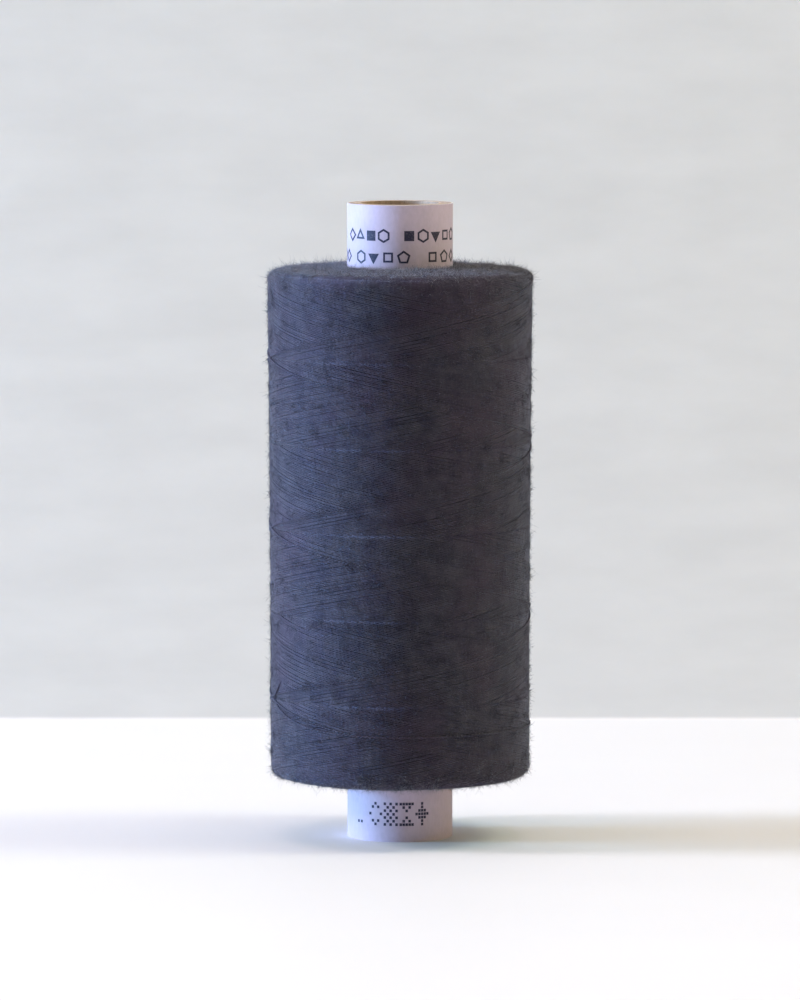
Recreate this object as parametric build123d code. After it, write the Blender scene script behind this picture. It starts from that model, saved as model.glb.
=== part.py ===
from build123d import *
import math
import os

# A spool of sewing thread: a spiral-wound board tube in a paper label, with thread cross-wound
# on it. Millimetres. +Z is the tube's axis, the origin is the centre of its foot, and -Y is
# the front.

# Tube
TUBE_LENGTH = 85.0
BORE_RADIUS = 5.25
BOARD_THICKNESS = 0.33
CORE_PLIES = 4
STRIP_PITCH = 30.0
BUTT_GAP = 0.25

# Label
LABEL_PAPER = 0.15
LABEL_OVERLAP = 5.0
LABEL_SEAM_ANGLE = 90.0

# Thread winding
WINDING_BOTTOM = 8.3
WINDING_TOP = 76.0
WINDING_CROWN = 0.5
WINDING_RADIUS_BOTTOM = 17.30
WINDING_RADIUS_MIDDLE = 17.42
WINDING_RADIUS_TOP = 17.65
WINDING_MIDDLE = 52.0
WINDING_SHOULDER = 1.3

# Last wraps of the thread, which lie half sunk in the winding
THREAD_DIAMETER = 0.22
THREAD_FACETS = 8
WRAP_LEAD = 22.7
WRAP_RADIUS_BOTTOM = 17.36
WRAP_RADIUS_TOP = 17.55
WRAP_BOTTOM = 12.0
WRAP_TOP = 73.0
CROSSING_ANGLE = -170.0
CROSSING_HEIGHT = 19.2
CLOSING_HEIGHT = 15.3
TAIL_SLOPE = 52.0
TAIL_HEIGHT = 3.2
TAIL_ANGLE = -165.0
TAIL_BOTTOM = 18.7

BOARD_RADIUS = BORE_RADIUS + (CORE_PLIES + 1) * BOARD_THICKNESS
LABEL_RADIUS = BOARD_RADIUS + LABEL_PAPER
STANDING = (Align.CENTER, Align.CENTER, Align.MIN)


def sleeve(inner, outer, length):
    """A plain tube that stands on the origin."""
    return Cylinder(outer, length, align=STANDING) - Cylinder(inner, length, align=STANDING)


def along_helix(section, radius, lead, bottom, top, flare=0.0, falling=False):
    """Sweeps a section, drawn with X outwards, up a helix that may flare by some degrees."""
    coil = Helix(lead, top - bottom, radius, cone_angle=flare, lefthand=falling)
    path = coil.moved(Location((0, 0, bottom)))
    start = Plane(origin=path @ 0, x_dir=(1, 0, 0), z_dir=path % 0)
    return sweep(start * section, path, is_frenet=True)


def board_ply(index):
    """One board strip wound into a tube, with the thin butt gap between its turns."""
    inner = BORE_RADIUS + index * BOARD_THICKNESS
    outer = inner + BOARD_THICKNESS
    seam_start = index * 360.0 / (CORE_PLIES + 1)
    gap = along_helix(
        Rectangle(3 * BOARD_THICKNESS, BUTT_GAP),
        (inner + outer) / 2,
        STRIP_PITCH,
        -STRIP_PITCH,
        TUBE_LENGTH + STRIP_PITCH,
    )
    return (sleeve(inner, outer, TUBE_LENGTH) - gap).rotate(Axis.Z, seam_start)


def label_wrap():
    """The paper round the board, with its overlap as a raised strip down the back."""
    paper = sleeve(BOARD_RADIUS, LABEL_RADIUS, TUBE_LENGTH)
    overlap_angle = math.degrees(LABEL_OVERLAP / LABEL_RADIUS)
    ring = sleeve(LABEL_RADIUS, LABEL_RADIUS + LABEL_PAPER, TUBE_LENGTH)
    on_axis = (Align.NONE, Align.NONE, Align.MIN)
    wedge = Cylinder(2 * LABEL_RADIUS, TUBE_LENGTH, arc_size=overlap_angle, align=on_axis)
    return paper + (ring & wedge.rotate(Axis.Z, LABEL_SEAM_ANGLE - overlap_angle / 2))


def thread_winding(label):
    """The wound body: a low crown on top, round shoulders and a side that flares upwards."""
    bottom_corner = (WINDING_RADIUS_BOTTOM, WINDING_BOTTOM)
    middle = (WINDING_RADIUS_MIDDLE, WINDING_MIDDLE)
    top_corner = (WINDING_RADIUS_TOP, WINDING_TOP)
    inner_bottom = (LABEL_RADIUS, WINDING_BOTTOM)
    inner_top = (LABEL_RADIUS, WINDING_TOP + WINDING_CROWN)
    side = ThreePointArc(bottom_corner, middle, top_corner)
    rest = Polyline(top_corner, inner_top, inner_bottom, bottom_corner)
    outline = make_face([side, *rest.edges()])
    shoulders = outline.vertices().sort_by(Axis.X)[-2:]
    section = Plane.XZ * fillet(shoulders, WINDING_SHOULDER)
    return revolve(section, Axis.Z) - label


def strand():
    """The thread's section, faceted so that its long sweeps stay light."""
    return RegularPolygon(THREAD_DIAMETER / 2, THREAD_FACETS)


def helix_turn(height_gained):
    """Degrees that a wrap turns through while it gains a height."""
    return 360.0 * height_gained / WRAP_LEAD


def crossing_wrap(falling):
    """One of the two last passes, which cross each other once a turn at the left and the back."""
    turn = helix_turn(CROSSING_HEIGHT - WRAP_BOTTOM)
    start = CROSSING_ANGLE + turn if falling else CROSSING_ANGLE - turn
    rise = WRAP_TOP - WRAP_BOTTOM
    flare = math.degrees(math.atan2(WRAP_RADIUS_TOP - WRAP_RADIUS_BOTTOM, rise))
    wrap = along_helix(
        strand(), WRAP_RADIUS_BOTTOM, WRAP_LEAD, WRAP_BOTTOM, WRAP_TOP, flare, falling
    )
    return wrap.rotate(Axis.Z, start)


def closing_wrap():
    """The level turn that ends the winding near its foot."""
    return Location((0, 0, CLOSING_HEIGHT)) * Torus(WRAP_RADIUS_BOTTOM, THREAD_DIAMETER / 2)


def thread_tail():
    """The cut end, pulled steeply under the crossing above the closing turn."""
    lead = 2 * math.pi * WRAP_RADIUS_BOTTOM * math.tan(math.radians(TAIL_SLOPE))
    top = TAIL_BOTTOM + TAIL_HEIGHT
    tail = along_helix(strand(), WRAP_RADIUS_BOTTOM, lead, TAIL_BOTTOM, top)
    return tail.rotate(Axis.Z, TAIL_ANGLE)


def write(name, shape):
    export_step(shape, f"parts/{name}.step")


os.makedirs("parts", exist_ok=True)
paper_label = label_wrap()
write("bore_liner_ply", board_ply(0))
for ply in range(1, CORE_PLIES + 1):
    write(f"core_ply_{ply}", board_ply(ply))
write("label_wrap", paper_label)
write("thread_winding", thread_winding(paper_label))
write("rising_wrap", crossing_wrap(falling=False))
write("falling_wrap", crossing_wrap(falling=True))
write("closing_wrap", closing_wrap())
write("thread_tail", thread_tail())
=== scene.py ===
"""Dresses a packed spool of sewing thread: board tube, label, print, thread and loose fibres."""

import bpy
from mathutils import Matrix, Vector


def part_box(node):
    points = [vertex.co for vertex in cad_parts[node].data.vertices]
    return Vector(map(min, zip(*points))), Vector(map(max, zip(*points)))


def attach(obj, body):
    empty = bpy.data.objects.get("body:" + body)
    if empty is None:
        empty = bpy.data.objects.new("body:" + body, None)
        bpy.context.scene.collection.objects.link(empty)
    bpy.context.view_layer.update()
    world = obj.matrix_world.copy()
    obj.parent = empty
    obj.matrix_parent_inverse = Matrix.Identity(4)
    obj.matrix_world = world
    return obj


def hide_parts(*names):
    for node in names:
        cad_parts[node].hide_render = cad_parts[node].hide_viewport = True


bl_info = {
    "name": "Thread Spool",
    "version": (1, 0, 0),
    "blender": (4, 5, 0),
    "location": "3D View > Sidebar > Spool",
    "description": "Builds the thread, label and board of a sewing thread spool around its frame",
    "category": "Add Mesh",
}

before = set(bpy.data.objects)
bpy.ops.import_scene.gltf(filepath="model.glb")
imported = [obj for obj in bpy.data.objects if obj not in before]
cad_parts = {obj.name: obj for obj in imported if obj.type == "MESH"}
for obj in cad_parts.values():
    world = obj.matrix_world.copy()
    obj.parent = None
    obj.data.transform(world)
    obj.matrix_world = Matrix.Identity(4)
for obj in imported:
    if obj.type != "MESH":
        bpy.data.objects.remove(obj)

import math
import random

import bmesh
import bpy
import numpy as np
from mathutils import Matrix, Vector

MM = 0.001
TURN = 2 * math.pi
FRONT = -TURN / 4

TUBE_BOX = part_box("label_wrap")
TUBE_TOP = TUBE_BOX[1].z
LABEL_RADIUS = TUBE_BOX[1].x
BOARD_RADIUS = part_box("core_ply_4")[1].x
LABEL_PAPER = LABEL_RADIUS - BOARD_RADIUS


def shown(kind, default, description, **settings):
    """A property that shows in the panel, named by its description up to the colon."""
    name = description.split(":")[0]
    return kind(name=name, description=description, default=default, **settings)


def length(metres, description):
    settings = {"min": 0.0, "precision": 5, "unit": "LENGTH", "subtype": "DISTANCE"}
    return shown(bpy.props.FloatProperty, metres, description, **settings)


def angle(degrees, description):
    settings = {"unit": "ROTATION", "subtype": "ANGLE"}
    return shown(bpy.props.FloatProperty, math.radians(degrees), description, **settings)


def colour(rgb, description):
    settings = {"size": 3, "min": 0.0, "max": 1.0, "subtype": "COLOR"}
    return shown(bpy.props.FloatVectorProperty, rgb, description, **settings)


def count(number, description):
    return shown(bpy.props.IntProperty, number, description, min=1)


class SPOOL_PG_winding(bpy.types.PropertyGroup):
    """How the thread is wound on the tube."""

    diameter: length(0.26 * MM, "Thread diameter: across the thread")
    lead: length(22.7 * MM, "Lead: height that the thread gains in one turn")
    crossing_angle: angle(-80, "Crossing angle: of the last crossings, from the front")
    crossing_height: length(19.2 * MM, "Crossing height: of the lowest of the last crossings")
    passes: count(100, "Passes: parallel turns that one lead holds")
    dip: length(0.13 * MM, "Dip: how far a run sinks where it goes under another")
    dip_run: length(1.6 * MM, "Dip run: length over which a run sinks")
    crowd: length(0.7 * MM, "Crowd: how gently the runs level out at the shoulders")
    wander: length(0.05 * MM, "Wander: how far a run strays from its helix")
    closing_height: length(15.3 * MM, "Closing height: of the last level turn")
    ply_twist: length(1.1 * MM, "Ply twist: length of one twist of the two plies")


class SPOOL_PG_fibres(bpy.types.PropertyGroup):
    """The loose fibre ends of the spun thread."""

    haze: count(92800, "Haze: short fibres that felt the side")
    end_haze: count(16000, "End haze: short fibres that felt each end")
    haze_length: length(0.42 * MM, "Haze length: mean length of a short fibre")
    haze_thickness: length(0.032 * MM, "Haze thickness: at the root of a short fibre")
    strays: count(7200, "Strays: long fibres on the shoulders and ends")
    side_strays: count(3200, "Side strays: long fibres on the side")
    stray_length: length(0.62 * MM, "Stray length: mean length of a long fibre")
    stray_thickness: length(0.024 * MM, "Stray thickness: at the root of a long fibre")


class SPOOL_PG_tube(bpy.types.PropertyGroup):
    """The paper label on the board tube, and its print."""

    overlap: length(5.0 * MM, "Label overlap: width of the glued overlap at the back")
    ink: length(0.012 * MM, "Ink thickness: how far the print stands on the paper")
    upper_row: length(80.95 * MM, "Upper row: height of the middle of the upper row of marks")
    lower_row: length(78.1 * MM, "Lower row: height of the middle of the lower row of marks")
    mark: length(1.9 * MM, "Mark height: height of one printed mark")
    stroke: length(0.26 * MM, "Stroke: line width of a printed mark")
    dot_row: length(3.75 * MM, "Dot row: height of the middle of the dot pattern")
    dot: length(0.37 * MM, "Dot: width of one printed dot")


class SPOOL_PG_colours(bpy.types.PropertyGroup):
    """Colours of the spool's finishes."""

    thread: colour((0.0265, 0.0255, 0.027), "Thread colour: of the dyed fibre")
    fibre: colour((0.028, 0.028, 0.0295), "Fibre colour: of the felted fibres")
    # This colour is painted light: a brighter copy of the fibre colour, so that the fibres on the
    # ends look lit.
    loose_fibre: colour((0.075, 0.073, 0.086), "Loose fibre colour: of one free fibre")
    paper: colour((0.59, 0.485, 0.62), "Label colour: of the printed paper")
    # The paper edge colour goes only on faces that point up: partly the bare cut paper, partly a
    # painted highlight of the light from above.
    paper_edge_and_highlight: colour((0.86, 0.84, 0.84), "Paper edge colour: of the cut paper")
    ink: colour((0.022, 0.020, 0.060), "Ink colour: of the print")
    board: colour((0.45, 0.36, 0.29), "Board colour: of the tube's strips")
    liner: colour((0.50, 0.37, 0.28), "Liner colour: of the strip in the bore")


class SPOOL_PG_stage(bpy.types.PropertyGroup):
    """Floor, backdrop, lights and camera."""

    camera_distance: length(0.905, "Camera distance: from the tube's axis")
    camera_height: length(0.133, "Camera height: above the floor")
    aim_height: length(0.0452, "Aim height: on the tube's axis")
    lens: bpy.props.FloatProperty(
        name="Lens", description="Focal length in millimetres", default=244.6, min=1.0
    )
    wall_distance: length(0.1203, "Backdrop distance: behind the tube's axis")
    floor_colour: colour((0.85, 0.85, 0.845), "Floor colour: of the table top")
    wall_colour: colour((0.90, 0.876, 0.862), "Backdrop colour: of the wall")
    room_light: colour((0.33, 0.335, 0.262), "Room light: from all round")
    window_low: colour((0.256, 0.583, 1.0), "Low window colour: of the light from the left")
    window_high: colour((0.93, 0.876, 1.0), "High window colour: of the light from the left")
    lamp_low: colour((1.0, 0.70, 0.10), "Low lamp colour: of the light from the right")
    lamp_high: colour((1.0, 1.0, 0.76), "High lamp colour: of the light from the right")
    ceiling: colour((1.0, 0.683, 0.769), "Ceiling colour: of the light from above")


GROUPS = {
    "spool_winding": SPOOL_PG_winding,
    "spool_fibres": SPOOL_PG_fibres,
    "spool_tube": SPOOL_PG_tube,
    "spool_colours": SPOOL_PG_colours,
    "spool_stage": SPOOL_PG_stage,
}


# Materials


class Nodes:
    """A short way to write a material's node tree."""

    def __init__(self, name):
        self.material = bpy.data.materials.new(name)
        self.material.use_nodes = True
        self.tree = self.material.node_tree
        self.shader = self.tree.nodes["Principled BSDF"]
        self.coordinates = self.add("ShaderNodeTexCoord")

    def add(self, kind, **settings):
        """Adds a node, with its properties and its unlinked inputs set."""
        node = self.tree.nodes.new(kind)
        for key, value in settings.items():
            if hasattr(node, key):
                setattr(node, key, value)
            else:
                node.inputs[key.replace("_", " ").title()].default_value = value
        return node

    def link(self, source, target):
        self.tree.links.new(source, target)

    def noise(self, scale, detail=3.0, roughness=0.55, stretch=(1, 1, 1)):
        """Noise on the object's own coordinates, with features 1 / scale metres long."""
        mapping = self.add("ShaderNodeMapping", scale=stretch)
        self.link(self.coordinates.outputs["Object"], mapping.inputs["Vector"])
        noise = self.add("ShaderNodeTexNoise", scale=scale, detail=detail, roughness=roughness)
        self.link(mapping.outputs["Vector"], noise.inputs["Vector"])
        return noise.outputs["Fac"]

    def attribute(self, name):
        return self.add("ShaderNodeAttribute", attribute_name=name).outputs["Fac"]

    def math(self, operation, first, second=None):
        node = self.add("ShaderNodeMath", operation=operation)
        for socket, value in zip(node.inputs, (first, second)):
            if isinstance(value, bpy.types.NodeSocket):
                self.link(value, socket)
            elif value is not None:
                socket.default_value = value
        return node.outputs[0]

    def spread(self, value, low, high, from_low=0.3, from_high=0.7):
        """Maps a value onto another range and holds it there."""
        source = {"from_min": from_low, "from_max": from_high}
        node = self.add("ShaderNodeMapRange", to_min=low, to_max=high, **source)
        self.link(value, node.inputs["Value"])
        return node.outputs["Result"]

    def mix(self, factor, first, second):
        """Mixes two colours, each a socket or a tuple."""
        node = self.add("ShaderNodeMix", data_type="RGBA")
        self.link(factor, node.inputs["Factor"])
        for socket, value in zip(node.inputs[6:8], (first, second)):
            if isinstance(value, bpy.types.NodeSocket):
                self.link(value, socket)
            else:
                socket.default_value = (*value, 1.0)
        return node.outputs[2]

    def bump(self, height, distance, strength=0.6):
        node = self.add("ShaderNodeBump", strength=strength, distance=distance)
        self.link(height, node.inputs["Height"])
        self.drive("Normal", node.outputs["Normal"])

    def blend(self, first, share, second):
        """Adds two values, the first by its share and the second by the rest."""
        parts = self.math("MULTIPLY", first, share), self.math("MULTIPLY", second, 1 - share)
        return self.math("ADD", *parts)

    def drive(self, name, source):
        """Links one of the shader's own sockets."""
        self.link(source, self.shader.inputs[name])

    def surface(self, **values):
        """Sets the shader's own sockets."""
        for key, value in values.items():
            self.shader.inputs[key.replace("_", " ")].default_value = value


def scaled(rgb, factor):
    return tuple(min(1.0, channel * factor) for channel in rgb)


# How many patches of matted fibre there are in a metre
FELT = 700.0


def dyed_sheen(nodes):
    """The bluish shine of dyed polyester, from its fibres and from the down on them."""
    nodes.surface(Specular_IOR_Level=0.63, Specular_Tint=(0.55, 0.51, 1.0, 1.0))
    nodes.surface(Sheen_Weight=0.48, Sheen_Roughness=0.3, Sheen_Tint=(0.69, 0.77, 1.0, 1.0))


def thread_material(colours):
    """Dyed spun polyester: matt and felted, with uneven dye and the twist of its two plies."""
    nodes = Nodes("spun_thread")
    felt = nodes.noise(420.0, 7.0, 0.74)
    cloud = nodes.noise(95.0, 3.0, 0.5)
    run_tone = nodes.math("MULTIPLY", nodes.attribute("tone"), 0.08)
    depth = nodes.spread(nodes.math("ADD", felt, run_tone), 0.0, 1.0, 0.38, 0.68)
    dark, light = scaled(colours.thread, 0.3), scaled(colours.thread, 1.9)
    violet = tuple(c * f for c, f in zip(colours.thread, (1.5, 0.86, 1.12)))
    shade = nodes.mix(depth, dark, light)
    nodes.drive("Base Color", nodes.mix(nodes.spread(cloud, 0.0, 0.55, 0.42, 0.66), shade, violet))
    uv = nodes.add("ShaderNodeUVMap", uv_map="Thread")
    bands = {"wave_type": "BANDS", "bands_direction": "DIAGONAL", "scale": TURN / 10}
    wave = nodes.add("ShaderNodeTexWave", **bands)
    nodes.link(uv.outputs["UV"], wave.inputs["Vector"])
    matted = nodes.math("MULTIPLY", nodes.noise(FELT, 6.0, 0.7), 5.0)
    relief = nodes.math("ADD", nodes.math("MULTIPLY", wave.outputs["Fac"], 0.4), matted)
    nodes.bump(relief, 0.05 * MM, 1.0)
    dyed_sheen(nodes)
    nodes.surface(Roughness=0.6)
    return nodes.material


def fibre_material(colours):
    """Short fibres that lie over the thread like felt."""
    nodes = Nodes("felted_fibre")
    nodes.drive("Roughness", nodes.spread(nodes.noise(FELT), 0.4, 0.85))
    dyed_sheen(nodes)
    nodes.surface(Base_Color=(*colours.fibre, 1.0))
    return nodes.material


def brightened_fibre_material(colours):
    """Fibres that stand free on the ends: a lighter copy of the felted fibre, whose brighter base
    colour is painted light for the lit ends, with a strong sheen.
    """
    nodes = Nodes("loose_fibre")
    nodes.drive("Roughness", nodes.spread(nodes.noise(FELT), 0.4, 0.8))
    nodes.surface(Base_Color=(*colours.loose_fibre, 1.0), Specular_IOR_Level=0.5)
    nodes.surface(Sheen_Weight=1.0, Sheen_Roughness=0.5, Sheen_Tint=(0.83, 0.84, 1.0, 1.0))
    return nodes.material


def paper_material(colours):
    """Printed label paper: a flat lavender with fibres and faint mottling; its upward-facing cut
    edge is painted near-white, partly bare cut paper and partly a painted highlight from above.
    """
    nodes = Nodes("printed_paper")
    fibres = nodes.noise(2600.0, 5.0, 0.65, (1, 1, 0.45))
    mottle = nodes.noise(260.0, 3.0)
    tone = nodes.spread(nodes.blend(fibres, 0.55, mottle), 0.0, 1.0, 0.34, 0.66)
    printed = nodes.mix(tone, scaled(colours.paper, 0.90), scaled(colours.paper, 1.07))
    # Faces that point up, the top cut edge, turn near-white: partly bare paper, partly a painted
    # highlight from the light above. The lower cut edge keeps the printed colour.
    normal = nodes.add("ShaderNodeNewGeometry").outputs["Normal"]
    split = nodes.add("ShaderNodeSeparateXYZ")
    nodes.link(normal, split.inputs["Vector"])
    cut = nodes.spread(split.outputs["Z"], 0.0, 1.0, 0.55, 0.8)
    nodes.drive("Base Color", nodes.mix(cut, printed, colours.paper_edge_and_highlight))
    nodes.drive("Roughness", nodes.spread(fibres, 0.55, 0.75))
    nodes.bump(fibres, 0.02 * MM, 0.35)
    nodes.surface(Specular_IOR_Level=0.35, Sheen_Weight=0.08)
    return nodes.material


def ink_material(colours):
    """Printing ink, a little worn where the paper's fibres stand up."""
    nodes = Nodes("print_ink")
    wear = nodes.spread(nodes.noise(5200.0, 4.0, 0.7), 0.0, 0.35, 0.52, 0.74)
    nodes.drive("Base Color", nodes.mix(wear, colours.ink, scaled(colours.paper, 0.6)))
    nodes.surface(Roughness=0.55, Specular_IOR_Level=0.35)
    return nodes.material


def board_material(name, rgb, gloss):
    """Grey-brown board: short pulp fibres, specks and a slightly rubbed surface."""
    nodes = Nodes(name)
    fibres = nodes.noise(3200.0, 6.0, 0.7, (1, 1, 0.3))
    specks = nodes.noise(7000.0, 2.0, 0.5)
    cloud = nodes.noise(340.0, 3.0)
    tone = nodes.spread(nodes.blend(fibres, 0.6, cloud), 0.0, 1.0, 0.35, 0.65)
    body = nodes.mix(tone, scaled(rgb, 0.72), scaled(rgb, 1.3))
    flecks = nodes.spread(specks, 0.0, 1.0, 0.66, 0.74)
    nodes.drive("Base Color", nodes.mix(flecks, body, scaled(rgb, 0.35)))
    nodes.drive("Roughness", nodes.spread(fibres, gloss, gloss + 0.2))
    nodes.bump(fibres, 0.05 * MM, 0.5)
    nodes.surface(Specular_IOR_Level=0.3)
    return nodes.material


def plain_material(name, rgb, roughness, scale, contrast):
    """A plain stage finish with a soft unevenness."""
    nodes = Nodes(name)
    cloud = nodes.spread(nodes.noise(scale, 3.0, 0.5, (0.35, 1, 1)), 0.0, 1.0)
    nodes.drive(
        "Base Color", nodes.mix(cloud, scaled(rgb, 1 - contrast), scaled(rgb, 1 + contrast))
    )
    nodes.surface(Roughness=roughness, Specular_IOR_Level=0.2)
    return nodes


def wall_material(rgb):
    """The painted wall, which is open to view from behind."""
    nodes = plain_material("painted_wall", rgb, 0.8, 160.0, 0.03)
    either = nodes.add("ShaderNodeMixShader")
    front = nodes.add("ShaderNodeNewGeometry").outputs["Backfacing"]
    sides = front, nodes.shader.outputs["BSDF"], nodes.add("ShaderNodeBsdfTransparent").outputs[0]
    for source, socket in zip(sides, either.inputs):
        nodes.link(source, socket)
    nodes.link(either.outputs[0], nodes.tree.nodes["Material Output"].inputs["Surface"])
    return nodes.material


# Meshes


def finished_object(name, bm, material, crease=None):
    """Makes a smooth-shaded object at the origin from a bmesh, and frees the bmesh.

    crease is the angle past which an edge stays sharp.
    """
    mesh = bpy.data.meshes.new(name)
    bm.to_mesh(mesh)
    bm.free()
    mesh.materials.append(material)
    mesh.shade_smooth()
    if crease:
        mesh.set_sharp_from_angle(angle=crease)
    obj = bpy.data.objects.new(name, mesh)
    bpy.context.scene.collection.objects.link(obj)
    return obj


def outward(bm):
    bmesh.ops.recalc_face_normals(bm, faces=bm.faces)


def read(elements, name, width):
    """Reads a value of every element as the rows of an array."""
    values = np.empty(len(elements) * width)
    elements.foreach_get(name, values)
    return values.reshape(-1, width)


class Outline:
    """The winding's half section as a line from the tube up the bottom, side and top to the tube.

    It is read from the CAD solid, so that thread and fibres lie on the shape that the design holds.
    Places on it are given by run, the distance along the line from the foot of the plain side.
    """

    STEP = 0.1 * MM
    SMOOTHING = 5

    def __init__(self):
        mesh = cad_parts["thread_winding"].data
        points = np.array([v.co for v in mesh.vertices])
        radius = np.hypot(points[:, 0], points[:, 1])
        height = points[:, 2]
        outer = radius > 2 * LABEL_RADIUS
        ends = height[~outer].min(), height[~outer].max()
        levels = np.unique(np.round(height[outer], 6))
        radii = [radius[outer & (abs(height - level) < 1e-6)].max() for level in levels]
        radii = np.array([LABEL_RADIUS, *radii, LABEL_RADIUS])
        levels = np.array([ends[0], *levels, ends[1]])
        run = np.concatenate([[0], np.cumsum(np.hypot(np.diff(radii), np.diff(levels)))])
        self.end = run[-1]
        self.flat_bottom = run[1]
        self.flat_top = run[-2]
        self.run = np.arange(0, self.end, self.STEP)
        kernel = np.ones(self.SMOOTHING) / self.SMOOTHING
        pad = self.SMOOTHING // 2
        self.radius = np.interp(self.run, run, radii)
        self.height = np.interp(self.run, run, levels)
        for values in (self.radius, self.height):
            values[pad:-pad] = np.convolve(values, kernel, "valid")
        slope_r = np.gradient(self.radius)
        slope_z = np.gradient(self.height)
        size = np.hypot(slope_r, slope_z)
        self.out_r, self.out_z = slope_z / size, -slope_r / size
        self.offset = np.interp(0.5 * (levels[0] + levels[-1]), self.height, self.run)
        self.offset -= 0.5 * (levels[0] + levels[-1])

    def from_height(self, height):
        """Run of a place on the plain side at a height."""
        return height + self.offset

    def place(self, angles, runs, lift):
        """Points at angles from the front and runs along the line, lifted off the surface."""
        radius = np.interp(runs, self.run, self.radius)
        radius = radius + lift * np.interp(runs, self.run, self.out_r)
        height = np.interp(runs, self.run, self.height)
        height = height + lift * np.interp(runs, self.run, self.out_z)
        turned = angles + FRONT
        return np.stack([radius * np.cos(turned), radius * np.sin(turned), height], axis=-1)


class Skein:
    """Runs of thread gathered into one mesh.

    Each ply of a run is a flat grid, as long as the run and one turn wide, that is rolled into a
    tube along its path. A path gives angles and runs of the outline for the turns made so far.
    """

    RADIUS = 17.4 * MM
    BATCH = 60
    WELD = 0.0005 * MM

    def __init__(self, outline, ply_twist):
        self.outline = outline
        self.ply_twist = ply_twist
        self.whole = bmesh.new()
        self.batch = bmesh.new()
        self.scratch = bpy.data.meshes.new("run_of_thread")
        self.waiting = 0

    def add(self, path, lift, turns, steps, radius, tone, sides=6, offset=0.0):
        """Adds a ply. lift is its rise off the surface, and offset its place in a plied thread."""
        bm = bmesh.new()
        bm.loops.layers.uv.new("Thread")
        bm.verts.layers.float.new("tone")
        bmesh.ops.create_grid(bm, x_segments=steps, y_segments=sides, size=0.5, calc_uvs=True)
        bm.to_mesh(self.scratch)
        bm.free()
        points = read(self.scratch.vertices, "co", 3)
        turn = (points[:, 0] + 0.5) * turns
        around = (points[:, 1] + 0.5) * TURN
        twisted = turn * TURN * self.RADIUS / self.ply_twist * TURN
        out = radius * np.cos(around) + offset * np.cos(twisted)
        across = radius * np.sin(around) + offset * np.sin(twisted)
        angles, runs = path(turn)
        placed = self.outline.place(angles, runs + across, out + lift(turn))
        self.scratch.vertices.foreach_set("co", placed.ravel())
        self.scratch.attributes["tone"].data.foreach_set("value", np.full(len(placed), tone))
        grooves = read(self.scratch.uv_layers["Thread"].data, "uv", 2)
        grooves *= (2 * turns * TURN * self.RADIUS / self.ply_twist, 2.0)
        self.scratch.uv_layers["Thread"].data.foreach_set("uv", grooves.ravel())
        self.close()
        self.batch.from_mesh(self.scratch)
        self.waiting += 1
        if self.waiting == self.BATCH:
            self.gather()

    def close(self):
        """Welds the tube's seam and closes its ends."""
        bm = bmesh.new()
        bm.from_mesh(self.scratch)
        bmesh.ops.remove_doubles(bm, verts=bm.verts, dist=self.WELD)
        bmesh.ops.holes_fill(bm, edges=bm.edges)
        outward(bm)
        bm.to_mesh(self.scratch)
        bm.free()

    def gather(self):
        self.batch.to_mesh(self.scratch)
        self.whole.from_mesh(self.scratch)
        self.batch.free()
        self.batch = bmesh.new()
        self.waiting = 0

    def finish(self, name, material):
        if self.waiting:
            self.gather()
        self.batch.free()
        bpy.data.meshes.remove(self.scratch)
        return finished_object(name, self.whole, material)


def eased(values):
    """Smooth step from 0 to 1."""
    held = np.clip(values, 0.0, 1.0)
    return held * held * (3 - 2 * held)


def shared(name):
    """One of the shared materials, made when it is first asked for."""
    made = bpy.data.materials.get(name)
    return made or SHARED[name](bpy.context.scene.spool_colours)


SHARED = {
    "spun_thread": thread_material,
    "felted_fibre": fibre_material,
    "loose_fibre": brightened_fibre_material,
    "printed_paper": paper_material,
    "print_ink": ink_material,
}


# Thread

# How far from a crossing runs stand out, by direction, and how much the rest still do
RISING_REACH = math.radians(52.0)
FALLING_REACH = math.radians(24.0)
SLACK = 0.2
# How deep a run lies in the felt, in diameters, and the shortest run that is made, in turns
BEDDED = 0.35
SHORTEST = 0.012


def squeeze(outline, runs, crowd):
    """Levels runs out at the shoulders, so that they crowd up to the ends and never pass them."""
    top = outline.flat_top
    bottom = outline.flat_bottom
    runs = top - crowd * np.logaddexp(0.0, (top - runs) / crowd)
    return bottom + crowd * np.logaddexp(0.0, (runs - bottom) / crowd)


def tension(winding, angles, direction):
    """How much runs stand out where they lie: most at the crossings, least between them."""
    away = np.abs((angles - winding.crossing_angle + TURN / 4) % (TURN / 2) - TURN / 4)
    reach = RISING_REACH if direction > 0 else FALLING_REACH
    return SLACK + (1 - SLACK) * np.exp(-((away / reach) ** 2))


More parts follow.
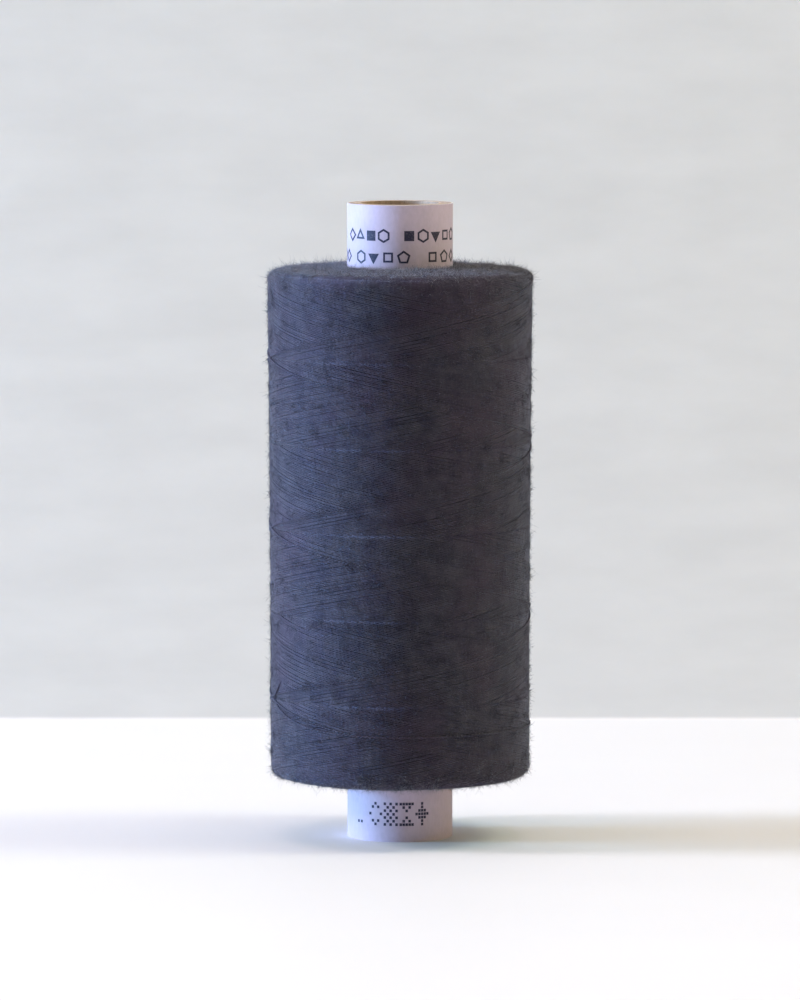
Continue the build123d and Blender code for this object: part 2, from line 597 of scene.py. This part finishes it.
def crossed_run(winding, outline, phase, seed, direction, step):
    """Where one pass lies on top between two crossings: its path, turns and ends, or None.

    The winding's last passes cross at the crossing angle. A pass lies on top of every older one,
    and its phase is its age, so it shows only from one crossing level to the next newer pass.
    """
    first = step / 2 + phase
    last = (step + 1 + phase) / 2
    base = outline.from_height(winding.crossing_height)
    spare = 1.5 * MM / winding.lead
    lowest = (outline.flat_bottom - base) / winding.lead - spare
    highest = (outline.flat_top - base) / winding.lead + spare
    low, high = (lowest, highest) if direction > 0 else (-highest, -lowest)
    start = max(first, low + phase)
    end = min(last, high + phase)
    if end - start < SHORTEST:
        return None
    reach = winding.dip_run * 0.5 / (TURN * Skein.RADIUS)
    dips = (start == first, end == last)
    start -= reach * dips[0]
    end += reach * dips[1]
    rng = random.Random(seed)
    sway = [rng.uniform(0, TURN) for _ in range(3)]
    rest = rng.uniform(-0.01, 0.01) * MM

    def path(turn):
        position = start + turn
        angles = winding.crossing_angle + TURN * position
        runs = base + direction * winding.lead * (position - phase)
        stray = np.sin(3 * angles + sway[0]) + 0.6 * np.sin(7 * angles + sway[1])
        runs = squeeze(outline, runs + stray * winding.wander * 0.5, winding.crowd)
        return angles, runs

    def lift(turn):
        ramp = winding.dip_run / (TURN * Skein.RADIUS)
        sunk = np.zeros_like(turn)
        if dips[0]:
            sunk = np.maximum(sunk, 1 - eased(turn / ramp))
        if dips[1]:
            sunk = np.maximum(sunk, 1 - eased((end - start - turn) / ramp))
        sunk = sunk * tension(winding, path(turn)[0], direction)
        return rest - winding.diameter * BEDDED - winding.dip * sunk

    return path, end - start, lift


class SPOOL_OT_crossed_thread(bpy.types.Operator):
    """Build the outer layer of the winding from its crossed runs of thread"""

    bl_idname = "spool.crossed_thread"
    bl_label = "Crossed Thread"

    STEPS_PER_TURN = 64
    LEVELS = range(-7, 7)

    def execute(self, context):
        winding = context.scene.spool_winding
        outline = Outline()
        for name, direction, seed in (("rising_runs", 1, 11), ("falling_runs", -1, 23)):
            rng = random.Random(seed)
            skein = Skein(outline, winding.ply_twist)
            for index in range(1, winding.passes):
                phase = (index + rng.uniform(-0.12, 0.12)) / winding.passes
                tone = rng.random()
                for step in self.LEVELS:
                    run = crossed_run(winding, outline, phase, rng.random(), direction, step)
                    if run is None:
                        continue
                    path, turns, lift = run
                    steps = max(3, math.ceil(turns * self.STEPS_PER_TURN))
                    skein.add(path, lift, turns, steps, winding.diameter / 2, tone)
            piece = skein.finish(name, shared("spun_thread"))
            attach(piece, "root")
        return {"FINISHED"}


class SPOOL_OT_winding_core(bpy.types.Operator):
    """Build the closed body of older thread under the outer runs"""

    bl_idname = "spool.winding_core"
    bl_label = "Winding Core"

    SPIN_STEPS = 96
    SINK = 0.2 * MM

    def execute(self, context):
        outline = Outline()
        bm = bmesh.new()
        bm.loops.layers.uv.new("Thread")
        runs = np.arange(0, outline.end, 0.6 * MM)
        section = outline.place(np.zeros_like(runs), runs, -self.SINK)
        ring = [bm.verts.new(Vector(point)) for point in section]
        for point in (section[-1], section[0]):
            inner = point * np.array([0.0, 1.0, 1.0])
            inner[1] = -LABEL_RADIUS - 0.02 * MM
            ring.append(bm.verts.new(Vector(inner)))
        for first, second in zip(ring, ring[1:] + ring[:1]):
            bm.edges.new((first, second))
        bmesh.ops.spin(
            bm,
            geom=bm.verts[:] + bm.edges[:],
            axis=(0, 0, 1),
            angle=TURN,
            steps=self.SPIN_STEPS,
            use_merge=True,
        )
        bmesh.ops.remove_doubles(bm, verts=bm.verts, dist=0.001 * MM)
        outward(bm)
        piece = finished_object("winding_core", bm, shared("spun_thread"))
        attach(piece, "root")
        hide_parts("thread_winding")
        return {"FINISHED"}


class SPOOL_OT_end_turns(bpy.types.Operator):
    """Build the level turns that show on the winding's two ends"""

    bl_idname = "spool.end_turns"
    bl_label = "End Turns"

    STEPS = 110
    SPACING = 0.92
    STRAY = 0.45
    RIPPLE = 0.18

    def execute(self, context):
        winding = context.scene.spool_winding
        outline = Outline()
        spacing = winding.diameter * self.SPACING
        for name, low, high, seed in (
            ("foot_turns", spacing * 0.6, outline.flat_bottom, 5),
            ("head_turns", outline.flat_top, outline.end - spacing * 0.6, 7),
        ):
            rng = random.Random(seed)
            skein = Skein(outline, winding.ply_twist)
            for middle in np.arange(low, high, spacing):
                self.add_turn(skein, winding, middle, low, high, rng)
            piece = skein.finish(name, shared("spun_thread"))
            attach(piece, "root")
        return {"FINISHED"}

    def add_turn(self, skein, winding, middle, low, high, rng):
        """One level turn that strays in and out over its neighbours."""
        phases = [rng.uniform(0, TURN) for _ in range(5)]
        sizes = [rng.uniform(0.3, 1.0) for _ in range(5)]
        rest = rng.uniform(-0.25, 0.1)

        def path(turn):
            angles = TURN * turn
            stray = sum(
                size * np.sin((order + 1) * angles + phase)
                for order, (size, phase) in enumerate(zip(sizes, phases))
            )
            return angles, np.clip(middle + stray * winding.diameter * self.STRAY, low, high)

        def lift(turn):
            angles = TURN * turn
            ripple = np.sin(2 * angles + phases[3]) + np.sin(5 * angles + phases[1])
            return winding.diameter * (self.RIPPLE * ripple - BEDDED + rest)

        skein.add(path, lift, 1.0, self.STEPS, winding.diameter / 2, rng.random(), sides=5)


class SPOOL_OT_last_wraps(bpy.types.Operator):
    """Build the last wraps of the plied thread and its tucked end"""

    bl_idname = "spool.last_wraps"
    bl_label = "Last Wraps"

    STEPS_PER_TURN = 760
    PLY_RADIUS = 0.33
    PLY_OFFSET = 0.25
    CLOSING_START = math.radians(-76.0)
    CLOSING_SETTLE = math.radians(21.0)
    CLOSING_TURNS = 0.86
    TAIL_START = math.radians(-77.0)
    TAIL_END = math.radians(-66.0)
    TAIL_DROP = 0.8 * MM
    TAIL_RISE = 3.4 * MM
    TAIL_BEND = 0.35 * MM

    def execute(self, context):
        winding = context.scene.spool_winding
        outline = Outline()
        base = outline.from_height(winding.crossing_height)
        top = (outline.flat_top - 0.5 * MM - base) / winding.lead
        bottom = (base - outline.flat_bottom - 0.5 * MM) / winding.lead
        self.helix(winding, outline, "rising_wrap", -bottom, top, 1, 0.62, 3)
        self.helix(winding, outline, "falling_wrap", -top, bottom, -1, 0.8, 4)
        self.closing(winding, outline)
        self.tail(winding, outline)
        return {"FINISHED"}

    def lay(self, winding, outline, node, path, turns, lift, tone):
        skein = Skein(outline, winding.ply_twist)
        steps = math.ceil(turns * self.STEPS_PER_TURN)
        for offset in (self.PLY_OFFSET, -self.PLY_OFFSET):
            radius, offset = winding.diameter * self.PLY_RADIUS, winding.diameter * offset
            skein.add(path, lift, turns, steps, radius, tone, offset=offset)
        piece = skein.finish("plied_" + node, shared("spun_thread"))
        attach(piece, "root")
        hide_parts(node)

    def helix(self, winding, outline, node, low, high, direction, rest, seed):
        """The newest pass in one direction, from shoulder to shoulder."""
        base = outline.from_height(winding.crossing_height)
        rng = random.Random(seed)
        sway = [rng.uniform(0, TURN) for _ in range(2)]

        def path(turn):
            position = low + turn
            angles = winding.crossing_angle + TURN * position
            runs = base + direction * winding.lead * position
            stray = np.sin(2 * angles + sway[0]) + 0.5 * np.sin(5 * angles + sway[1])
            return angles, squeeze(outline, runs + stray * winding.wander, winding.crowd)

        def lift(turn):
            ends = np.minimum(turn, high - low - turn) * TURN * Skein.RADIUS / (3 * MM)
            standing = rest * tension(winding, path(turn)[0], direction)
            return winding.diameter * (standing * eased(ends) - 0.4)

        self.lay(winding, outline, node, path, high - low, lift, rng.random())

    def closing(self, winding, outline):
        """The turn that comes out from under the lowest crossing and levels near the foot."""
        fall = winding.crossing_height - winding.closing_height
        turns = self.CLOSING_TURNS

        def path(turn):
            angles = self.CLOSING_START + TURN * turn
            height = winding.closing_height + fall * np.exp(-TURN * turn / self.CLOSING_SETTLE)
            height = height + winding.wander * np.sin(3 * angles)
            return angles, outline.from_height(height)

        def lift(turn):
            ends = np.minimum(turn, turns - turn) * TURN * Skein.RADIUS / (2 * MM)
            return winding.diameter * (0.85 * eased(ends) - 0.5)

        self.lay(winding, outline, "closing_wrap", path, turns, lift, 0.4)

    def tail(self, winding, outline):
        """The cut end, drawn steeply up under the lowest crossing."""
        low = winding.crossing_height - self.TAIL_DROP
        turns = (self.TAIL_END - self.TAIL_START) / TURN

        def path(turn):
            done = turn / turns
            bend = np.sin(done * TURN / 2) * self.TAIL_BEND
            run = outline.from_height(low + self.TAIL_RISE * done) - bend
            return self.TAIL_START + TURN * turn, run

        def lift(turn):
            return winding.diameter * (0.95 * np.sin(np.clip(turn / turns, 0, 1) * TURN / 2) - 0.35)

        self.lay(winding, outline, "thread_tail", path, turns, lift, 0.1)


# Loose fibres


class Fibres:
    """Tapered loose fibres gathered into one mesh, in batches of copies of one small cone."""

    SIDES = 3
    BATCH = 400

    def __init__(self, joints):
        bm = bmesh.new()
        bmesh.ops.create_cone(
            bm,
            cap_ends=True,
            cap_tris=False,
            segments=self.SIDES,
            radius1=0.5,
            radius2=0.2,
            depth=1.0,
            matrix=Matrix.Translation((0, 0, 0.5)),
        )
        for joint in range(1, joints):
            bmesh.ops.bisect_plane(
                bm,
                geom=bm.verts[:] + bm.edges[:] + bm.faces[:],
                plane_co=(0, 0, joint / joints),
                plane_no=(0, 0, 1),
            )
        outward(bm)
        self.copies = bpy.data.meshes.new("copies_of_one_fibre")
        bm.to_mesh(self.copies)
        bm.free()
        self.points = read(self.copies.vertices, "co", 3)
        bm = bmesh.new()
        for _ in range(self.BATCH):
            bm.from_mesh(self.copies)
        bm.to_mesh(self.copies)
        bm.free()
        self.whole = bmesh.new()

    def grow(self, roots, axes, sizes, thicknesses, bends):
        """Adds a whole number of batches. axes has each fibre's two sides and its direction."""
        rise = self.points[:, 2]
        across = self.points[:, :2] * thicknesses[:, None, None]
        bent = bends[:, None, :] * sizes[:, None, None]
        across = across + bent * np.stack([rise**2, rise**3], axis=-1)
        local = np.concatenate([across, (sizes[:, None] * rise)[:, :, None]], axis=-1)
        placed = roots[:, None, :] + local @ axes
        for start in range(0, len(placed), self.BATCH):
            batch = placed[start : start + self.BATCH]
            self.copies.vertices.foreach_set("co", batch.ravel())
            self.whole.from_mesh(self.copies)

    def finish(self, name, material):
        bpy.data.meshes.remove(self.copies)
        piece = finished_object(name, self.whole, material)
        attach(piece, "root")


def unit(vectors):
    return vectors / np.linalg.norm(vectors, axis=-1, keepdims=True)


# Sizes of the clumps that fibres stand in, how strongly they gather and thicken in them,
# and how deep their roots lie
CLUMP_SIZES = (1.1 * MM, 5.0 * MM)
GATHERING = 0.95
THICKENING = 0.22
ROOT_DEPTH = 0.06 * MM


def clumps(angles, runs):
    """How thickly fibres stand at places on the winding, about 0: an even field of soft patches."""
    rng = np.random.default_rng(77)
    waves = 40
    lengths = rng.uniform(*CLUMP_SIZES, waves)
    headings = rng.uniform(0, TURN, waves)
    orders = np.round(np.cos(headings) * TURN * Skein.RADIUS / lengths)
    climbs = np.sin(headings) * TURN / lengths
    field = np.zeros_like(angles)
    for order, climb, phase in zip(orders, climbs, rng.uniform(0, TURN, waves)):
        field += np.sin(order * angles + climb * runs + phase)
    return field * math.sqrt(2 / waves)


def grow_fibres(name, number, low, high, size, thickness, seed, joints, lean, droop, felted):
    """Grows fibres at chance places between two runs of the outline.

    lean is how far they lie over, as the tangent of the angle, and droop how far they bend back.
    """
    outline = Outline()
    rng = np.random.default_rng(seed)
    fibres = Fibres(joints)
    number = number // Fibres.BATCH * Fibres.BATCH
    turned = rng.uniform(0, TURN, 3 * number)
    runs = rng.uniform(low, high, 3 * number)
    liking = np.exp(GATHERING * clumps(turned, runs))
    kept = rng.choice(3 * number, number, replace=False, p=liking / liking.sum())
    turned, runs = turned[kept], runs[kept]
    stout = np.exp(THICKENING * clumps(turned, runs))
    roots = outline.place(turned, runs, -ROOT_DEPTH)
    normal = unit(outline.place(turned, runs, 1.0 * MM) - roots)
    level = np.stack([-np.sin(turned + FRONT), np.cos(turned + FRONT), np.zeros(number)], axis=-1)
    upward = np.cross(level, normal)
    heading = rng.uniform(0, TURN, number)[:, None]
    over = (lean * rng.uniform(0.15, 1.85, number))[:, None]
    flat = level * np.cos(heading) + upward * np.sin(heading)
    direction = unit(normal + flat * over)
    side = unit(np.cross(direction, normal))
    second = np.cross(direction, side)
    axes = np.stack([side, second, direction], axis=1)
    sizes = size * np.minimum(3.0, rng.lognormal(0.0, 0.45, number))
    bends = (rng.uniform(-0.7, 0.7, number), rng.uniform(-droop, droop * 0.4, number))
    thicknesses = thickness * stout * rng.uniform(0.7, 1.25, number)
    fibres.grow(roots, axes, sizes, thicknesses, np.stack(bends, axis=-1))
    # Fibres that are not felted, on the ends, take the brighter copy of the fibre finish: painted
    # light for the lit ends.
    fibres.finish(name, shared("felted_fibre" if felted else "loose_fibre"))


class SPOOL_OT_fibres(bpy.types.Operator):
    """Grow the loose fibres of the spun thread"""

    bl_idname = "spool.fibres"
    bl_label = "Loose Fibres"

    HAZE_BANDS = 4
    SHOULDER = 3.0 * MM
    EDGE = 1.3 * MM
    HAZE_GAP = 0.2 * MM
    STRAY_GAP = 0.3 * MM

    def execute(self, context):
        fibres = context.scene.spool_fibres
        outline = Outline()
        low, high, end = outline.flat_bottom, outline.flat_top, outline.end
        edges = np.linspace(low, high, self.HAZE_BANDS + 1)
        band = fibres.haze // self.HAZE_BANDS
        for index, (start, stop) in enumerate(zip(edges, edges[1:])):
            self.haze(fibres, f"side_haze_{index + 1}", band, start, stop, 31 + index, 2.6, True)
        foot, head = low + self.EDGE, high - self.EDGE
        self.haze(fibres, "foot_haze", fibres.end_haze, self.HAZE_GAP, foot, 51, 1.3)
        self.haze(fibres, "head_haze", fibres.end_haze, head, end - self.HAZE_GAP, 52, 1.3)
        foot, head = low + self.SHOULDER, high - self.SHOULDER
        half = fibres.strays // 2
        self.strays(fibres, "foot_strays", half, self.STRAY_GAP, foot, 41, 4, 1.2)
        self.strays(fibres, "head_strays", half, head, end - self.STRAY_GAP, 42, 4, 1.2)
        self.strays(fibres, "side_strays", fibres.side_strays, low, high, 43, 3, 1.6, True)
        return {"FINISHED"}

    def haze(self, fibres, name, number, low, high, seed, lean, felted=False):
        """Short straight fibres that lie low."""
        size = fibres.haze_length, fibres.haze_thickness
        grow_fibres(name, number, low, high, *size, seed, 1, lean, 0.0, felted)

    def strays(self, fibres, name, number, low, high, seed, joints, lean, felted=False):
        """Long curled fibres that stand out."""
        size = fibres.stray_length, fibres.stray_thickness
        grow_fibres(name, number, low, high, *size, seed, joints, lean, 0.6, felted)


# Tube and label


class SPOOL_OT_board_tube(bpy.types.Operator):
    """Give the board strips of the tube their finish"""

    bl_idname = "spool.board_tube"
    bl_label = "Board Tube"

    def execute(self, context):
        colours = context.scene.spool_colours
        liner = board_material("liner_board", colours.liner, 0.45)
        for name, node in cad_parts.items():
            if name == "bore_liner_ply":
                node.material_slots[0].material = liner
            elif name.startswith("core_ply_"):
                shade = 0.86 + 0.11 * (int(name[-1]) % 3)
                node.material_slots[0].material = board_material(
                    "board_" + name, scaled(colours.board, shade), 0.7
                )
        return {"FINISHED"}


def label_surface(angles, heights):
    """Outer radius of the label: round, with the faint unevenness of wrapped paper."""
    ripple = np.sin(3 * angles + 1.3) * np.sin(heights / (9 * MM) + 0.4)
    ripple = ripple + 0.6 * np.sin(7 * angles + heights / (4 * MM))
    return LABEL_RADIUS + 0.012 * MM * ripple


class SPOOL_OT_label(bpy.types.Operator):
    """Wrap the label paper round the tube"""

    bl_idname = "spool.label"
    bl_label = "Label Paper"

    ROUND_STEPS = 150
    HEIGHT_STEPS = 56
    CLIMB = math.radians(4.0)
    CREASE = math.radians(40.0)

    def execute(self, context):
        tube = context.scene.spool_tube
        overlap = tube.overlap / LABEL_RADIUS
        total = TURN + overlap
        bm = bmesh.new()
        bmesh.ops.create_grid(
            bm, x_segments=self.ROUND_STEPS, y_segments=self.HEIGHT_STEPS, size=0.5
        )
        start = TURN / 2 - overlap / 2
        for vertex in bm.verts:
            part = vertex.co.x + 0.5
            height = (vertex.co.y + 0.5) * TUBE_TOP
            turned = total * part
            climb = float(eased((turned - (TURN - self.CLIMB)) / self.CLIMB))
            radius = float(label_surface(start + turned, height))
            radius += climb * (LABEL_PAPER + 0.004 * MM)
            place = start + turned + FRONT
            vertex.co = (radius * math.cos(place), radius * math.sin(place), height)
        outward(bm)
        bmesh.ops.solidify(bm, geom=bm.faces[:], thickness=-LABEL_PAPER)
        outward(bm)
        piece = finished_object("label_paper", bm, shared("printed_paper"), self.CREASE)
        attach(piece, "root")
        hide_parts("label_wrap")
        return {"FINISHED"}


class Print:
    """Flat marks drawn on an unrolled label, then wrapped round it."""

    FINENESS = 0.5 * MM

    def __init__(self, tube):
        self.tube = tube
        self.bm = bmesh.new()
        self.shape = bpy.data.meshes.new("printed_shape")

    def stamp(self, bm, across, height):
        """Adds a shape to the print at its place."""
        bmesh.ops.translate(bm, verts=bm.verts, vec=(across, height, 0))
        bm.to_mesh(self.shape)
        bm.free()
        self.bm.from_mesh(self.shape)

    def polygon(self, across, height, radius, sides, turned=0.0, hollow=True):
        """A regular shape, filled or with an outline of one stroke's width."""
        bm = bmesh.new()
        bmesh.ops.create_circle(bm, cap_ends=not hollow, segments=sides, radius=radius)
        if hollow:
            inner = radius - self.tube.stroke / math.cos(TURN / 2 / sides)
            bmesh.ops.create_circle(bm, cap_ends=False, segments=sides, radius=inner)
            bmesh.ops.bridge_loops(bm, edges=bm.edges)
        cuts = int(2 * radius * math.sin(TURN / 2 / sides) / self.FINENESS)
        if cuts:
            bmesh.ops.subdivide_edges(bm, edges=bm.edges, cuts=cuts, use_grid_fill=True)
        bmesh.ops.rotate(bm, verts=bm.verts, matrix=Matrix.Rotation(turned, 3, "Z"))
        self.stamp(bm, across, height)

    def bar(self, across, height, width, tall):
        """A filled upright rectangle."""
        bm = bmesh.new()
        steps = max(1, math.ceil(width / self.FINENESS))
        bmesh.ops.create_grid(bm, x_segments=steps, y_segments=1, size=0.5)
        bmesh.ops.scale(bm, verts=bm.verts, vec=(width, tall, 1))
        self.stamp(bm, across, height)

    def wrap(self, name):
        """Gives the marks their thickness and wraps them round the label."""
        bpy.data.meshes.remove(self.shape)
        bmesh.ops.recalc_face_normals(self.bm, faces=self.bm.faces)
        for face in self.bm.faces:
            if face.normal.z < 0:
                face.normal_flip()
        raised = bmesh.ops.extrude_face_region(self.bm, geom=self.bm.faces[:], use_keep_orig=True)
        top = [v for v in raised["geom"] if isinstance(v, bmesh.types.BMVert)]
        bmesh.ops.translate(self.bm, verts=top, vec=(0, 0, self.tube.ink))
        outward(self.bm)
        for vertex in self.bm.verts:
            turned = vertex.co.x / LABEL_RADIUS
            surface = float(label_surface(turned, vertex.co.y))
            radius = surface + vertex.co.z - self.tube.ink * 0.25
            place = turned + FRONT
            vertex.co = (radius * math.cos(place), radius * math.sin(place), vertex.co.y)
        piece = finished_object(name, self.bm, shared("print_ink"))
        piece.data.shade_flat()
        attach(piece, "root")
        return piece


class SPOOL_OT_print(bpy.types.Operator):
    """Print plain geometric marks on the label's neck and foot"""

    bl_idname = "spool.print_marks"
    bl_label = "Printed Marks"

    SHAPES = (
        # sides, turned, hollow
        (4, 0.0, True),
        (3, 0.0, True),
        (4, TURN / 8, False),
        (6, 0.0, True),
        (3, TURN / 2, False),
        (4, TURN / 8, True),
        (5, 0.0, True),
    )
    # first and last place in degrees from the front, and number of shapes
    UPPER = ((-63, -18, 4), (10, 74, 5), (104, 160, 4), (192, 264, 5))
    LOWER = ((-47, 4, 4), (38, 74, 3), (100, 176, 6), (214, 287, 6))
    DOT_PITCH = 1.25
    DOTS_LEFT = -4.2 * MM
    PATTERN_PITCH = 2.15 * MM
    LONE_DOTS = (-6.3 * MM, -5.7 * MM)

    def execute(self, context):
        tube = context.scene.spool_tube
        marks = Print(tube)
        for height, groups, first in (
            (tube.upper_row, self.UPPER, 0),
            (tube.lower_row, self.LOWER, 3),
        ):
            for group in groups:
                self.shapes(marks, tube, height, *group, first)
                first += 2
        marks.wrap("neck_marks")
        dots = Print(tube)
        self.dots(dots, tube)
        dots.wrap("foot_marks")
        return {"FINISHED"}

    def shapes(self, marks, tube, height, start, end, number, first):
        """A group of plain shapes between two angles from the front, in degrees."""
        for place in range(number):
            turned = math.radians(start + (end - start) * place / (number - 1))
            sides, tilt, hollow = self.SHAPES[(first + place) % len(self.SHAPES)]
            marks.polygon(turned * LABEL_RADIUS, height, tube.mark / 2, sides, tilt, hollow)

    def dots(self, dots, tube):
        """Four dot patterns, five dots wide and seven high."""
        pitch = tube.dot * self.DOT_PITCH
        shapes = (
            lambda column, row: abs(column - 2) * 1.5 + abs(row - 3) in (3.0, 3.5),
            lambda column, row: (column + row) % 2 == 0,
            lambda column, row: row in (0, 6) or abs(column - 2) == abs(row - 3) - 1,
            lambda column, row: abs(column - 2) * 1.5 + abs(row - 3) <= 3.0,
        )
        for number, shape in enumerate(shapes):
            left = self.DOTS_LEFT + number * self.PATTERN_PITCH
            for column in range(5):
                for row in range(7):
                    if shape(column, row):
                        across = left + column * pitch * 0.86
                        height = tube.dot_row + (row - 3) * pitch
                        dots.bar(across, height, tube.dot * 0.92, tube.dot)
        for across in self.LONE_DOTS:
            dots.bar(across, tube.dot_row - 2.6 * pitch, tube.dot, tube.dot)


# Stage


class SPOOL_OT_stage(bpy.types.Operator):
    """Set up the floor, backdrop, lights and camera"""

    bl_idname = "spool.stage"
    bl_label = "Stage"

    HALF_WIDTH = 1.6
    FRONT_EDGE = -2.2
    WALL_HEIGHT = 1.2
    COVE = 0.5 * MM
    LIGHT_DISTANCE = 1.6
    LIGHTS = (
        # name, degrees right of the front, degrees up, width, height, watts
        ("window_low", -90, 6, 0.4, 0.25, 45.0),
        ("window_high", -90, 30, 0.4, 0.45, 18.3),
        ("lamp_low", 90, 6, 0.4, 0.25, 3.7),
        ("lamp_high", 90, 55, 0.4, 0.6, 7.2),
        ("ceiling", 0, 89, 1.2, 0.5, 6.4),
    )

    def execute(self, context):
        stage = context.scene.spool_stage
        self.sheet(
            "floor",
            [(self.FRONT_EDGE, 0.0), (stage.wall_distance - self.COVE, 0.0)],
            plain_material("table_top", stage.floor_colour, 0.6, 40.0, 0.006).material,
        )
        bend = [
            (
                stage.wall_distance - self.COVE + self.COVE * math.sin(step * TURN / 32),
                self.COVE - self.COVE * math.cos(step * TURN / 32),
            )
            for step in range(9)
        ]
        self.sheet(
            "backdrop",
            [*bend, (stage.wall_distance, self.WALL_HEIGHT)],
            wall_material(stage.wall_colour),
        )
        self.world(context, stage.room_light)
        for name, *place_and_size in self.LIGHTS:
            self.light(name, getattr(stage, name), *place_and_size)
        self.camera(context, stage)
        context.scene.view_settings.view_transform = "Standard"
        return {"FINISHED"}

    def sheet(self, name, section, material):
        """Extrudes a line in the YZ plane across the stage."""
        bm = bmesh.new()
        line = [bm.verts.new((-self.HALF_WIDTH, y, z)) for y, z in section]
        edges = [bm.edges.new(pair) for pair in zip(line, line[1:])]
        grown = bmesh.ops.extrude_edge_only(bm, edges=edges)["geom"]
        moved = [v for v in grown if isinstance(v, bmesh.types.BMVert)]
        bmesh.ops.translate(bm, verts=moved, vec=(2 * self.HALF_WIDTH, 0, 0))
        for face in bm.faces:
            if face.normal.z < face.normal.y:
                face.normal_flip()
        finished_object(name, bm, material)

    def world(self, context, rgb):
        world = bpy.data.worlds.new("room")
        world.use_nodes = True
        background = world.node_tree.nodes["Background"]
        background.inputs["Color"].default_value = (*rgb, 1.0)
        background.inputs["Strength"].default_value = 1.0
        context.scene.world = world

    def light(self, name, rgb, across, up, wide, tall, power):
        """An area light that faces the middle of the spool."""
        light = bpy.data.lights.new(name, "AREA")
        light.shape = "RECTANGLE"
        light.size = wide
        light.size_y = tall
        light.energy = power
        light.color = rgb
        across, up = math.radians(across), math.radians(up)
        level = Vector((math.sin(across), -math.cos(across), 0.0))
        away = level * math.cos(up) + Vector((0.0, 0.0, math.sin(up)))
        lamp = bpy.data.objects.new(name, light)
        lamp.location = Vector((0, 0, TUBE_TOP / 2)) + away * self.LIGHT_DISTANCE
        lamp.rotation_euler = (-away).to_track_quat("-Z", "Y").to_euler()
        bpy.context.scene.collection.objects.link(lamp)

    def camera(self, context, stage):
        data = bpy.data.cameras.new("camera")
        data.lens = stage.lens
        data.clip_start = 0.05
        camera = bpy.data.objects.new("camera", data)
        camera.location = (0.0, -stage.camera_distance, stage.camera_height)
        aim = Vector((0.0, 0.0, stage.aim_height)) - camera.location
        camera.rotation_euler = aim.to_track_quat("-Z", "Y").to_euler()
        context.scene.collection.objects.link(camera)
        context.scene.camera = camera


OPERATORS = (
    SPOOL_OT_stage,
    SPOOL_OT_board_tube,
    SPOOL_OT_label,
    SPOOL_OT_print,
    SPOOL_OT_winding_core,
    SPOOL_OT_end_turns,
    SPOOL_OT_crossed_thread,
    SPOOL_OT_last_wraps,
    SPOOL_OT_fibres,
)


class SPOOL_PT_panel(bpy.types.Panel):
    """Lists the spool's operators and sizes"""

    bl_label = "Thread Spool"
    bl_idname = "SPOOL_PT_panel"
    bl_space_type = "VIEW_3D"
    bl_region_type = "UI"
    bl_category = "Spool"

    def draw(self, context):
        for operator in OPERATORS:
            self.layout.operator(operator.bl_idname)
        for name, group in GROUPS.items():
            box = self.layout.box()
            box.label(text=group.__doc__)
            for key in group.__annotations__:
                box.prop(getattr(context.scene, name), key)


CLASSES = (*GROUPS.values(), *OPERATORS, SPOOL_PT_panel)


def register():
    for cls in CLASSES:
        bpy.utils.register_class(cls)
    for name, group in GROUPS.items():
        setattr(bpy.types.Scene, name, bpy.props.PointerProperty(type=group))


def unregister():
    for name in GROUPS:
        delattr(bpy.types.Scene, name)
    for cls in reversed(CLASSES):
        bpy.utils.unregister_class(cls)


def main():
    """Builds the spool."""
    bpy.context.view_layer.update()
    register()
    for operator in OPERATORS:
        getattr(bpy.ops.spool, operator.bl_idname.split(".")[1])()
    bpy.context.view_layer.update()


if __name__ == "__main__":
    main()
